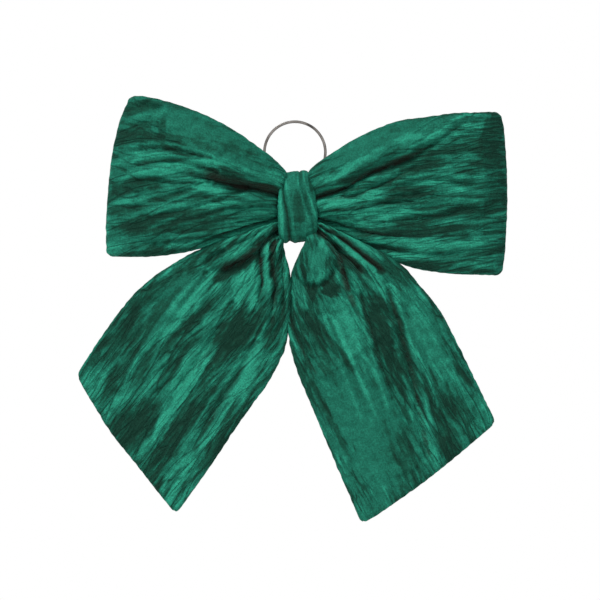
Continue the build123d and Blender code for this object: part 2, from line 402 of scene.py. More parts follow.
def loop_band(name, direction, low, high, end, reach, drift):
    """One padded loop: out from the knot along the front, round the fold and back to the knot behind. low,
    high and end are its front-view edges. drift slants the lines of the pile near its lower edge."""
    path = plan_path(reach)
    total = length_of(path)
    share = np.linspace(0, 1, int(total / ROW))
    plan = along(path, share)
    t = np.clip(plan[:, 0] / (reach + HALF_PAD), 0, 1)
    low_t, high_t = along(low, t), along(high, t)
    width = norm(high_t - low_t, axis=1)
    places, full = rim_shares(width)
    past = np.clip(LOOP_CORNER - (reach - plan[:, 0]), 0, LOOP_CORNER)
    pull = LOOP_CORNER - np.sqrt(LOOP_CORNER**2 - past**2)
    inset = pull + 0.3 * SWELL
    v = (inset[:, None] + places * (1 - 2 * inset / width)[:, None]) / width[:, None]
    tt = np.broadcast_to(t[:, None], v.shape)
    start = [low[0], high[0]]
    xz = patch(low, high, start, end, tt, v)
    pinch = 0.74 + 0.26 * np.clip(4 * v * (1 - v), 0, 1) ** 0.6
    tuck = TUCK * (1 - smoothstep(0, 0.45, v)) * (1 - smoothstep(30, 90, plan[:, 0]))[:, None]
    y = plan[:, 1][:, None] * pinch + tuck * smoothstep(0, 8, -plan[:, 1])[:, None]
    mid = np.stack([xz[..., 0], y, xz[..., 1]], -1)
    out = normals(mid) * direction
    out_length = np.broadcast_to((share * total)[:, None], v.shape)
    flat_across = gathered(v, width) + drift * plan[:, :1] * (1 - v)
    front = smoothstep(0.0, 6.0, -plan[:, 1] - 1.0)[:, None]
    rim_distance = np.minimum(v, 1 - v) * width[:, None]
    fold_distance = (reach - plan[:, 0])[:, None]
    marks = dict(
        Held=hold(mid[..., 0], mid[..., 2], rim_distance, fold_distance),
        Rim=np.minimum(rim_distance, 3 + 0.5 * fold_distance),
        Tied=np.minimum(out_length, total - out_length), Front=front * np.ones_like(v), Out=out, Flat=mid,
    )
    return tube_mesh(name, mid, out, HALF_PAD * full, out_length, flat_across, marks)


def tail_band(name, direction, low, high, end):
    """One padded tail, from the knot to its slanted end. low is its inner edge and high its outer edge."""
    length = 0.5 * sum(length_of(edge) for edge in (low, high))
    steps = int((length - RIM) / ROW)
    turn = np.arange(1, RIM_POINTS + 1) / RIM_POINTS * pi / 2
    run = np.concatenate([np.linspace(0, length - RIM, steps), length - RIM + RIM * np.sin(turn)])
    end_full = np.concatenate([np.ones(steps), np.cos(turn)])
    end_full[-1] = 0.05
    t = run / length
    width = norm(along(high, t) - along(low, t), axis=1)
    places, full = rim_shares(width)
    full = full * end_full[:, None]
    v = places / width[:, None]
    tt = np.broadcast_to(t[:, None], v.shape)
    xz = patch(low, high, [low[0], high[0]], end, tt, v)
    xz = round_corners(xz, run, places, width, length, TAIL_CORNER)
    depth = along(TAIL_DEPTH, t)[:, 1]
    x, z = xz[..., 0], xz[..., 1]
    y = depth[:, None] - 2.6 * np.sin(pi * np.clip(v, 0, 1)) * (1 - smoothstep(0.15, 0.7, tt))
    mid = np.stack([x, y, z], -1)
    out = normals(mid) * direction
    out = out * np.sign(-out[..., 1:2])
    flat_across = gathered(v, width)
    out_length = np.broadcast_to(run[:, None], v.shape)
    rim_distance = np.minimum(places, width[:, None] - places)
    marks = dict(
        Held=hold(x, z, rim_distance, (length - run)[:, None]),
        Rim=np.minimum(rim_distance, (length - run)[:, None]), Tied=out_length, Front=np.ones_like(v),
        Out=np.array([0, -1, 0]) * np.ones_like(mid), Flat=mid,
    )
    return tube_mesh(name, mid, out, HALF_PAD * full, out_length, flat_across, marks)


def round_corners(xz, run, places, width, length, radius):
    """Turns the two square corners of a tail's end into arcs."""
    along_dir = np.gradient(xz, axis=0)
    across_dir = np.gradient(xz, axis=1)
    along_dir /= np.maximum(norm(along_dir, axis=2), 1e-9)[..., None]
    across_dir /= np.maximum(norm(across_dir, axis=2), 1e-9)[..., None]
    to_end = np.clip(radius - (length - run), 0, radius)[:, None]
    to_low = np.clip(radius - places, 0, radius)
    to_high = np.clip(radius - (width[:, None] - places), 0, radius)
    moved = xz.copy()
    for to_side, sense in ((to_low, -1), (to_high, 1)):
        far = np.hypot(to_side, to_end)
        both = (to_side > 0) & (to_end > 0)
        scale = np.where(both, np.maximum(to_side, to_end) / np.maximum(far, 1e-9), 1.0)
        moved += across_dir * (sense * to_side * (scale - 1) * both)[..., None]
        moved += along_dir * (to_end * (scale - 1) * both)[..., None]
    return moved


# ---- the loops and tails

LEFT_LOOP = dict(
    low=[(-6, -7), (-30, -17), (-52, -23.5), (-68, -28.2), (-92, -31.3), (-119, -31.5)],
    high=[(-6, 14), (-11, 21.2), (-17.6, 29), (-30, 39.4), (-42.4, 48.6), (-54.9, 55.9), (-73.6, 63.7),
          (-92.2, 68.6), (-104, 70)],
    end=[(-119, -31.5), (-119.7, -20), (-119.1, 2.5), (-117.2, 25), (-114.7, 40), (-110.9, 54.4), (-104, 70)],
)
RIGHT_LOOP = dict(
    low=[(6, -8), (22, -14), (42, -25), (64, -35.6), (76.6, -39.4), (95.3, -42), (127.5, -43.3)],
    high=[(6, 14.5), (10, 21.6), (14.5, 26.4), (27, 34.8), (39.5, 42.2), (52, 47.9), (64.3, 52.4),
          (76.8, 55.3), (95.3, 58.2), (126, 60)],
    end=[(127.5, -43.3), (129.6, -30), (131, -8), (131.4, 12), (130.4, 35), (128.8, 52), (126, 60)],
)
LEFT_TAIL = dict(
    low=[(-10.4, -18), (-10.9, -25), (-8.5, -33), (-5.2, -41), (-3.8, -49), (-4.5, -64.4), (-5.6, -78),
         (-7.5, -88), (-10.8, -96), (-18.4, -110), (-29.1, -125), (-39.7, -140), (-54.7, -162.5),
         (-75.8, -192)],
    high=[(-5, -9), (-14, -9.8), (-34, -16.5), (-56, -24.3), (-67.2, -29.4), (-79.7, -36.9), (-92.2, -45.6),
          (-104.7, -57.5), (-123.4, -82.5), (-137.9, -104.8)],
    end=[(-75.8, -192), (-99.4, -162.9), (-118.4, -138.8), (-137.9, -104.8)],
)
RIGHT_TAIL = dict(
    low=[(8.6, -18), (6.4, -24), (0.4, -33), (-3.5, -41), (-4.8, -50), (-5.8, -66), (-5.9, -78), (-4.4, -88),
         (-0.3, -102.5), (5.9, -117.5), (18.4, -147.5), (40, -198)],
    high=[(5, -9), (14, -10), (34, -19), (64, -35.4), (77.2, -50), (89.1, -65), (97.2, -80), (104.7, -95),
          (124, -134.4)],
    end=[(40, -198), (60, -185.8), (90, -163.8), (124, -134.4)],
)


def plan_path(reach):
    """A loop's middle line from above, as (distance out, y): out in front, round the fold, back behind."""
    return [
        (6, -5.5), (16, -8.5), (32, -12.2), (56, -14.8), (0.76 * reach, -14.2), (reach - 12, -11.2),
        (reach - 3.2, -5.6), (reach, 1.2), (reach - 3.2, 8.2), (reach - 13, 13.2), (0.72 * reach, 14.2),
        (50, 14.0), (30, 10.2), (16, 6.2), (6, 4.2),
    ]


LEFT_LOOP_PLEATS = [
    fold([(-8, 5.5), (-12.5, 7.2), (-24, 10.5), (-41, 14.2), (-55, 17.6), (-72, 21.2), (-90, 27)], 4.5, 3.2,
         step=-7.5, roll=10, spread=22, open_end=0.38),
    fold([(-8, -4), (-24, -9), (-42, -14.8), (-58, -20), (-70, -24)], 2.6, 1.3, step=-2.4, roll=4.4,
         spread=10, open_end=0.55, shade=0.34),
    fold([(-8, 2), (-24, 2.2), (-42, 0.5), (-62, -5), (-84, -11)], 1.6, 1.4, step=-1.6, roll=3.5, spread=8,
         open_end=0.4),
    fold([(-34, 10.3), (-52.7, 2.4), (-76, -3.4), (-106, -14)], 1.5, 1.2, step=1.2, roll=3.4, spread=7,
         open_end=0.7, shade=0.34),
    fold([(-55, 15.6), (-71, 9), (-89.6, 2.4), (-112, -4.2)], 1.5, 1.2, step=1.2, roll=3.4, spread=7,
         open_end=0.7, shade=0.34),
    fold([(-50, 21), (-64, 26), (-80, 28.5), (-96, 26), (-110, 21)], 2.2, 1.7, step=-1.8, roll=3.2,
         spread=7, open_end=0.7),
    fold([(-54, 29), (-68, 33), (-82, 35.5), (-96, 35), (-110, 30)], 2.0, 1.6, step=-1.6, roll=3.2,
         spread=7, open_end=0.7),
    fold([(-60, 15), (-76, 14.5), (-92, 17), (-108, 15)], 1.9, 1.6, step=-1.4, roll=3.2, spread=7,
         open_end=0.7),
    fold([(-86, 60), (-96, 62), (-108, 60)], 1.8, 2.6, open_end=0.7),
    fold([(-44, -15), (-62, -19), (-84, -21.5), (-106, -22)], 1.4, 1.8, step=-1.0),
]
RIGHT_LOOP_PLEATS = [
    fold([(8, 4.5), (12.8, 5.9), (27, 10.6), (46, 20.6), (64, 28.4), (80, 36), (96, 46.5)], 4.5, 2.2,
         step=7.0, roll=9, spread=20, shade=0.24),
    fold([(20, 5), (34, 6.5), (52, 13), (70, 22), (90, 30)], 1.8, 1.6, step=-1.8, open_end=0.5),
    fold([(8, -0.5), (24, -1), (44, 0.5), (62, 4), (82, 7)], 1.8, 1.6, step=1.6, open_end=0.45),
    fold([(8, -4), (24, -9), (44, -15), (66, -18), (90, -20)], 2.2, 1.8, step=2.0, roll=4.5, spread=10,
         open_end=0.45),
    fold([(72, 34), (88, 42), (104, 52), (116, 57)], 1.5, 2.0, step=1.0),
    fold([(62, 13), (84, 17), (106, 14), (124, 10)], 1.5, 1.7, step=1.2),
    fold([(58, -8), (84, -6), (108, 0), (126, 2)], 1.4, 1.7, step=1.1),
    fold([(44, -22), (70, -28), (96, -28), (122, -24)], 1.5, 1.8, step=1.2),
]
BACK_PLEATS_LEFT = [
    fold([(-8, 12), (-30, 26), (-60, 42)], 3.4, 2.8, open_end=0.4),
    fold([(-8, 5), (-34, 8), (-70, 12)], 3.8, 3.0, step=-3.0, roll=6, spread=16, open_end=0.4),
    fold([(-8, -2), (-34, -9), (-66, -16)], 3.0, 2.6, open_end=0.4),
]
BACK_PLEATS_RIGHT = [
    dict(p, route=[(-a, b * 0.8) for a, b in p["route"]], step=-p["step"]) for p in BACK_PLEATS_LEFT
]
LEFT_TAIL_PLEATS = [
    fold([(-8, -12), (-16, -18), (-24, -25.5), (-30.5, -31.2), (-40.6, -36.3), (-48, -38.6), (-57, -41)],
         5.5, 4.6, step=-5.5, roll=7, spread=16, open_end=0.7),
    fold([(-8, -16), (-16, -18), (-22, -23), (-23, -34), (-22, -46), (-25, -62), (-30, -78)], 3.2, 1.5,
         step=4.0, roll=4.2, spread=7, open_end=0.5, shade=0.3),
    fold([(-7, -19), (-14, -22), (-16.2, -34), (-14.4, -50), (-17, -70), (-23, -96)], 2.4, 1.4, step=2.2,
         roll=3, spread=6, open_end=0.5),
    fold([(-7, -21), (-10.5, -28), (-9.6, -44), (-10, -62), (-15, -90)], 2.0, 1.2, step=1.6, roll=3,
         spread=6, open_end=0.5),
    fold([(-46, -28.5), (-52.5, -31.5), (-55, -34.5), (-53, -38)], 2.6, 2.0, open_end=0.8),
    fold([(-14, -10), (-30, -20), (-46, -26.5)], 1.6, 1.3, step=-1.0, roll=3, spread=6, open_end=0.7),
    fold([(-56, -42), (-74, -64), (-92, -90), (-106, -112)], 1.3, 2.0, step=-1.0, roll=5, spread=10,
         open_end=0.5),
    fold([(-40, -60), (-54, -84), (-72, -112), (-86, -136)], 1.5, 2.0, step=1.2, roll=5, spread=10),
    fold([(-26, -84), (-40, -110), (-56, -136), (-70, -158)], 1.6, 2.0, step=1.4, roll=5, spread=10),
]
RIGHT_TAIL_PLEATS = [
    fold([(8, -12), (16.6, -19.6), (29, -30), (43, -43.8), (52, -54)], 4.4, 2.6, step=4.0, roll=6,
         spread=12),
    fold([(14, -13), (28, -21), (36, -27), (45, -34.4), (54, -40.5), (60, -46)], 3.0, 2.0, step=3.2, roll=5,
         spread=12, open_end=0.7),
    fold([(8, -13), (19, -20.5), (26.6, -33.4), (30.3, -45.6), (33.5, -56), (39, -70), (47, -88)], 3.4, 2.2,
         step=-3.0, roll=6, open_end=0.45),
    fold([(-4, -56), (-3.6, -70), (2.8, -88), (12, -104), (24, -120)], 2.0, 1.6, step=-1.6, roll=3.5,
         spread=7),
    fold([(39.5, -54), (44, -72), (49, -90), (60, -123), (68, -146)], 1.8, 1.6, step=-1.2),
    fold([(56, -52), (63.5, -77), (72.7, -111), (80, -150), (87, -166)], 2.2, 2.0, step=1.8, roll=5,
         spread=12, open_end=0.85),
    fold([(20, -70), (28, -92), (40, -120), (50, -146)], 1.4, 1.8, step=1.0),
]
RIGHT_TAIL_BULBS = [dict(centre=(10, -31), half_length=18, half_width=13.5, lean=84, height=3.8, edge=-66)]
TAIL_DEPTH = [(0, -3.5), (0.06, -7.5), (0.2, -10.5), (0.45, -7.5), (0.75, -5.0), (1, -4.0)]

left_loop = loop_band("left_loop", -1, reach=117, drift=0.34, **LEFT_LOOP)
right_loop = loop_band("right_loop", 1, reach=129, drift=-0.2, **RIGHT_LOOP)
left_tail = tail_band("left_tail", -1, **LEFT_TAIL)
right_tail = tail_band("right_tail", 1, **RIGHT_TAIL)


# ---- the knot

KNOT_LEFT = [(-10.4, 23), (-11.4, 12), (-12.4, 0), (-12.2, -12), (-11, -22.6)]
KNOT_RIGHT = [(9.8, 23), (11, 10), (12.6, -4), (12.4, -14), (10.4, -22.4)]
KNOT_PLEATS = [
    dict(p, at_knot=True) for p in (
        fold([(-10.2, 25), (-9.7, 13.8), (-7.6, 2), (-5.9, -8), (-5.0, -17), (-4.6, -25)], 1.5, 1.2,
             step=-2.2, roll=3.6, spread=5, open_end=0.98, shade=0.3),
        fold([(0.5, 25), (2.8, 12), (6.6, -0.6), (10.2, -10.6), (11.4, -18)], 0.8, 0.9, step=0.9, roll=2.8,
             spread=5, open_end=0.95, shade=0.3),
        fold([(6.4, 25), (8.2, 14), (10.6, 4)], 0.6, 0.9, open_end=0.8),
    )
]
KNOT_WIDTH, KNOT_RIM, KNOT_HALF_PAD = 22.0, 2.6, 1.7
KNOT_ROW, KNOT_COLUMN = 1.0, 1.3  # mm of cloth from point to point, along the strip and across it
KNOT_POINTS = 30  # between the rims
KNOT_SLANT = 3.0  # how far the pile's lines drift across the knot, in mm
KNOT_LOOP = [(10.6, 0), (10.4, 12), (5, 17.8), (-3, 18.8), (-9.6, 17.2), (-12.4, 11), (-13.2, 0),
             (-12.9, -11), (-10.2, -16.6), (-3, -18.4), (5, -17.6), (10.4, -13), (10.6, 0)]


def make_knot():
    """The pleated strip of velvet wound once round the gathers, closed on itself behind."""
    yz = along(KNOT_LOOP, np.linspace(0, 1, int(length_of(KNOT_LOOP) / KNOT_ROW), endpoint=False))
    turn = np.arange(RIM_POINTS) / RIM_POINTS * pi / 2
    edge = KNOT_RIM * (1 - np.cos(turn))
    between = np.linspace(KNOT_RIM, KNOT_WIDTH - KNOT_RIM, KNOT_POINTS)
    places = np.concatenate([edge, between, (KNOT_WIDTH - edge)[::-1]]) / KNOT_WIDTH
    full = np.concatenate([np.sin(turn), np.ones(KNOT_POINTS), np.sin(turn)[::-1]])
    z = np.clip(yz[:, 1], -22, 22)
    left = np.interp(-z, [-p[1] for p in KNOT_LEFT], [p[0] for p in KNOT_LEFT])
    right = np.interp(-z, [-p[1] for p in KNOT_RIGHT], [p[0] for p in KNOT_RIGHT])
    x = left[:, None] + (right - left)[:, None] * places
    middle = np.stack([x, np.broadcast_to(yz[:, :1], x.shape), np.broadcast_to(yz[:, 1:], x.shape)], -1)
    ahead = np.roll(middle, -1, axis=0) - np.roll(middle, 1, axis=0)
    out = np.cross(np.gradient(middle, axis=1), ahead)
    out /= norm(out, axis=2)[..., None]
    out *= np.sign((out[..., 1:] * (middle[..., 1:] - np.array([-1.2, 0]))).sum(-1, keepdims=True))
    bow_out = 2.6 * np.sin(pi * places) ** 0.8 - 0.8
    outer = middle + out * (KNOT_HALF_PAD * full + bow_out)[..., None]
    inner = middle - out * (KNOT_HALF_PAD * full)[..., None]
    ring = around(outer, inner)
    rows, count = ring.shape[:2]
    mesh, uv = ring_mesh("knot", ring, rows)
    for poly in mesh.polygons:
        i, j = divmod(poly.index, count)
        for loop_index, (di, dj) in zip(poly.loop_indices, ((0, 0), (0, 1), (1, 1), (1, 0))):
            slant = KNOT_SLANT * sin(2 * pi * (i + di) / rows)
            flat = (i + di) * KNOT_ROW, (j + dj) * KNOT_COLUMN + slant
            uv.data[loop_index].uv = (flat[0] / UV_SIZE, flat[1] / UV_SIZE)
    mark_skins(mesh, dict(
        Held=0.5 + 0.4 * (1 - full) * np.ones_like(x),
        Rim=KNOT_WIDTH * np.minimum(places, 1 - places) * np.ones_like(x),
        Tied=np.full_like(x, 60.0), Front=smoothstep(3, -3, middle[..., 1]), Out=out, Flat=middle,
    ))
    return placed("knot", mesh)


knot = make_knot()
velvet_pieces = [left_loop, right_loop, left_tail, right_tail, knot]


# ---- padding: simulate, then crush the pile

def puff(pieces, frames=12, cap=2.4):
    """Fills the padded tubes by a short cloth simulation and applies it. Each point is held near its place
    and moves by cap mm at most."""
    scene = bpy.context.scene
    rest = {}
    for piece in pieces:
        rest[piece.name] = read(piece.data.vertices, "co", 3)
        group = piece.vertex_groups.new(name="held")
        for i, value in enumerate(piece.data.attributes["Held"].data):
            group.add([i], value.value, "REPLACE")
        cloth = piece.modifiers.new("puff", "CLOTH")
        c = cloth.settings
        c.quality = 5
        c.mass = 0.3
        c.tension_stiffness = c.compression_stiffness = 20
        c.shear_stiffness = 12
        c.bending_stiffness = 0.6
        c.tension_damping = c.compression_damping = c.shear_damping = 12
        c.vertex_group_mass = "held"
        c.pin_stiffness = 0.6
        c.use_pressure = True
        c.uniform_pressure_force = 3.0
        c.shrink_min = -0.05
        c.effector_weights.gravity = 0
        cloth.collision_settings.use_collision = False
        cloth.point_cache.frame_start = 1
        cloth.point_cache.frame_end = frames
    for frame_number in range(1, frames + 1):
        scene.frame_set(frame_number)
    graph = bpy.context.evaluated_depsgraph_get()
    for piece in pieces:
        start = rest[piece.name]
        moved = read(piece.evaluated_get(graph).data.vertices, "co", 3) - start
        size = norm(moved, axis=1, keepdims=True)
        limit = cap * MM * np.tanh(size / (cap * MM))
        piece.modifiers.clear()
        piece.vertex_groups.clear()
        piece.data.vertices.foreach_set("co", (start + moved / np.maximum(size, 1e-9) * limit).ravel())
        piece.data.update()
    scene.frame_set(1)


def subdivide(piece):
    smooth = piece.modifiers.new("smooth", "SUBSURF")
    smooth.levels = smooth.render_levels = 1
    graph = bpy.context.evaluated_depsgraph_get()
    mesh = bpy.data.meshes.new_from_object(
        piece.evaluated_get(graph), preserve_all_data_layers=True, depsgraph=graph
    )
    piece.modifiers.clear()
    old = piece.data
    piece.data = mesh
    mesh.name = old.name
    bpy.data.meshes.remove(old)


def lay_folds(piece, front_pleats, back_pleats=(), bulbs=(), through=0.7):
    """Lays the pleats into both skins, along the band's own normal; the inner skin follows by through."""
    mesh = piece.data
    flat, front = read(mesh.attributes["Flat"].data, "vector", 3), marked(mesh, "Front")
    laid = front * folded(flat[:, 0], flat[:, 2], front_pleats, bulbs)
    if back_pleats:
        laid += (1 - front) * folded(flat[:, 0], flat[:, 2], back_pleats)
    laid *= 1 - (1 - through) * marked(mesh, "Inside")
    height, dark, crest = laid
    # Painted shade for the creases and the rolls' undersides, made ragged, and painted highlights along
    # crests, kept as marks for the velvet's colour.
    dark = dark * np.clip(0.95 + 0.5 * lattice_noise(flat[:, 0] / 8, flat[:, 2] / 4, SEED), 0.45, 1.0)
    mark(mesh, "CreaseShade", dark)
    mark(mesh, "CrestHighlight", crest * (1 - dark))
    out = read(mesh.attributes["Out"].data, "vector", 3)
    out /= np.maximum(norm(out, axis=1, keepdims=True), 1e-6)
    shift(mesh, out, height)


def stroke_tone(x, z, strokes, seed):
    """How much the main patches of brighter and darker pile, painted shade and painted highlights among them,
    change a piece, and how far they cover it.
    """
    tone, cover = np.zeros_like(x), np.zeros_like(x)
    for number, (cx, cz, long, wide, lean, brighter) in enumerate(strokes):
        ca, sa = cos(radians(lean)), sin(radians(lean))
        u, v = (x - cx) * ca + (z - cz) * sa, (z - cz) * ca - (x - cx) * sa
        own = seed + 31 * number
        ragged = lattice_noise(u / 20, v / 2.6, own) + 0.6 * lattice_noise(u / 8, v / 1.5, own + 9)
        rho = np.hypot(u / (0.6 * long), v / (0.55 * wide)) + 0.55 * ragged
        share = smoothstep(1.3, 0.6, rho)
        tone += brighter * share
        cover = np.maximum(cover, share)
    return tone, cover


def crush_pile(piece, seed, amount, strokes, calm):
    """Raises the crushed velvet's wrinkles on the mesh, along its normals, and lays the pile, with painted
    light added to its tone: painted shading of the wrinkles' flanks, painted shade and highlight strokes and
    painted highlights on crests.
    """
    mesh = piece.data
    place = np.zeros((len(mesh.vertices), 2))
    place[read(mesh.loops, "vertex_index", kind=int)] = read(mesh.uv_layers["Band"].data, "uv", 2) * UV_SIZE
    normal = read(mesh.vertices, "normal", 3)
    length, across = place[:, 0], place[:, 1]
    tied = marked(mesh, "Tied")
    spot = read(mesh.vertices, "co", 3) / MM - KNOT_CENTRE
    front = smoothstep(0.0, 0.35, -normal[:, 1]) * (spot[:, 1] < 2)
    quiet = front * stroke_tone(spot[:, 0], spot[:, 2], calm, seed)[1]
    height = crush(length, across, seed, tied) * smoothstep(0, 11, marked(mesh, "Rim")) * amount
    height *= 1 - 0.9 * quiet
    tone, cover = stroke_tone(spot[:, 0], spot[:, 2], strokes, seed)
    pile_and_light = 0.45 + (pile_lie_and_shading(length, across, seed, tied) - 0.45) * (1 - 0.35 * cover * front) * (1 - 0.8 * quiet)
    # The pile's tone with painted light: the strokes' painted shade and highlights and the crests' painted
    # highlights.
    mark(mesh, "NapAndLight", np.clip(pile_and_light + 0.8 * tone * front + 0.32 * marked(mesh, "CrestHighlight"), 0, 1))
    mark(mesh, "Calm", quiet)
    shift(mesh, normal, height)


# The main patches where the pile lies brighter (above 0) or darker, seen from the front; some are painted
# light:
# painted shade in the pockets under the left tail's roll and the right tail's bulb, and a painted highlight
# along the roll's lip.
# middle x and z, length, width, heading in degrees, and how much brighter.
NAP_AND_LIGHT_STROKES = {
    "left_loop": [
        (-72, 50, 30, 13, -20, 0.14), (-97, 62, 24, 7, 8, -0.3), (-84, 50, 16, 5, 80, -0.25),
        (-95, 43, 40, 6, -2, -0.2), (-50, 11, 26, 9, -12, 0.3), (-36, 15, 30, 7, -16, -0.35),
        (-62, -5, 36, 8, 8, -0.22), (-98, -23, 46, 7, 6, 0.3), (-62, -17, 34, 4, 16, 0.15),
        (-110, -2, 20, 5, 5, -0.2), (-104, -12, 26, 4, 8, -0.22), (-82, 24, 40, 5, 5, 0.22),
        (-98, 33, 30, 4, -4, 0.24), (-24, 1, 16, 5, -4, 0.15),
    ],
    "right_loop": [
        (32, 31, 40, 13, 38, 0.2), (80, 46, 30, 10, 10, 0.16), (56, 34, 14, 7, 30, -0.25),
        (74, 31, 30, 8, 25, -0.4), (35, 10, 22, 5, 22, -0.3), (123, 48, 30, 16, 75, -0.34),
        (101, 28, 24, 7, 10, 0.3), (116, 21, 14, 8, -10, 0.25),
        (52, -5, 34, 7, 8, 0.3), (25, 2, 18, 7, 0, 0.25), (74, -15, 42, 8, 6, -0.28),
        (119, 33, 16, 8, 0, -0.2), (92, -26, 48, 8, 8, 0.28), (100, -39, 44, 4, -3, -0.3),
        (60, 14, 20, 6, 20, -0.2),
    ],
    "left_tail": [
        (-73, -65, 46, 9, 50, 0.32), (-31, -54, 36, 15, 77, 0.42), (-39, -76, 28, 20, 60, -0.42),
        (-45, -42.5, 14, 6, 40, -0.7), (-36, -37, 26, 5, 30, -0.7),
        (-39, -30.3, 32, 4, 22, 0.5), (-14, -40, 36, 5, -86, -0.5), (-19.6, -33, 28, 3, 88, 0.4),
        (-8.6, -36, 24, 2.6, 80, 0.3), (-70, -112, 54, 7, 58, 0.42), (-69, -133, 60, 9, 56, -0.3),
        (-42, -122, 66, 9, 57, 0.34), (-100, -86, 44, 10, 52, -0.28), (-113, -124, 26, 9, 55, 0.28),
        (-103, -138, 24, 8, 58, -0.28), (-90, -144, 28, 7, 60, 0.3), (-64, -160, 40, 5, 60, 0.3),
        (-33, -126, 80, 4, 55, -0.3), (-52, -92, 50, 7, 56, -0.3), (-88, -104, 46, 5, 56, 0.2),
    ],
    "knot": [
        (-4, 14, 9, 12, 90, 0.2), (-11, -2, 30, 5, 88, 0.22), (0, -4, 26, 9, 88, -0.16),
        (2, -14, 8, 7, 0, 0.22), (8, 16, 9, 6, 90, -0.22),
    ],
    "right_tail": [
        (13, -32, 24, 9, 80, 0.3), (35, -30, 32, 4, -36, 0.34), (31, -36, 28, 3, -43, -0.55),
        (42, -31, 26, 2.6, -38, -0.4), (22, -52, 10, 8, -20, -0.65), (10.5, -53, 11, 4, 80, -0.55),
        (31, -78, 42, 20, -66, 0.28), (26, -91, 26, 5, -52, -0.38), (49, -73, 46, 11, -76, -0.42),
        (10.6, -68, 20, 7, -70, -0.38), (62, -100, 54, 10, -66, -0.38), (70, -62, 26, 12, -52, 0.25),
        (84, -88, 44, 12, -60, 0.25), (104, -117, 30, 9, -60, 0.22),
        (90, -140, 52, 13, -62, -0.34), (40, -150, 76, 26, -60, 0.16), (16, -124, 60, 4, -64, -0.25),
        (4, -85, 32, 4, -53, -0.38), (42.5, -50, 18, 12, -10, 0.3), (52, -40, 5, 4, 0, -0.5),
        (74, -126, 60, 4, -66, 0.3),
    ],
}
# Where the pile is smoothest and the wrinkles nearly gone, given the same way.
CALM = {
    "left_loop": [(-62, 46, 90, 26, -28, 1)],
    "right_loop": [(48, 38, 84, 20, 26, 1)],
    "left_tail": [(-80, -60, 50, 20, 48, 1)],
    "right_tail": [(40, -135, 100, 44, -62, 1), (78, -80, 60, 18, -58, 1), (32, -80, 40, 18, -66, 1),
                   (12, -33, 28, 14, 84, 1), (40, -30, 36, 8, -38, 1)],
    "knot": [(0, 0, 90, 60, 90, 1)],
}

FOLDS = {
    "left_loop": dict(front_pleats=LEFT_LOOP_PLEATS, back_pleats=BACK_PLEATS_LEFT, through=0.85),
    "right_loop": dict(front_pleats=RIGHT_LOOP_PLEATS, back_pleats=BACK_PLEATS_RIGHT, through=0.85),
    "left_tail": dict(front_pleats=LEFT_TAIL_PLEATS),
    "right_tail": dict(front_pleats=RIGHT_TAIL_PLEATS, bulbs=RIGHT_TAIL_BULBS),
    "knot": dict(front_pleats=KNOT_PLEATS, through=0.0),
}
puff(velvet_pieces)
for number, piece in enumerate(velvet_pieces):
    subdivide(piece)
    lay_folds(piece, **FOLDS[piece.name])
    wrinkled = 0.16 if piece is knot else 1.0
    crush_pile(piece, SEED + 60 * number, wrinkled, NAP_AND_LIGHT_STROKES[piece.name], CALM[piece.name])


# ---- materials

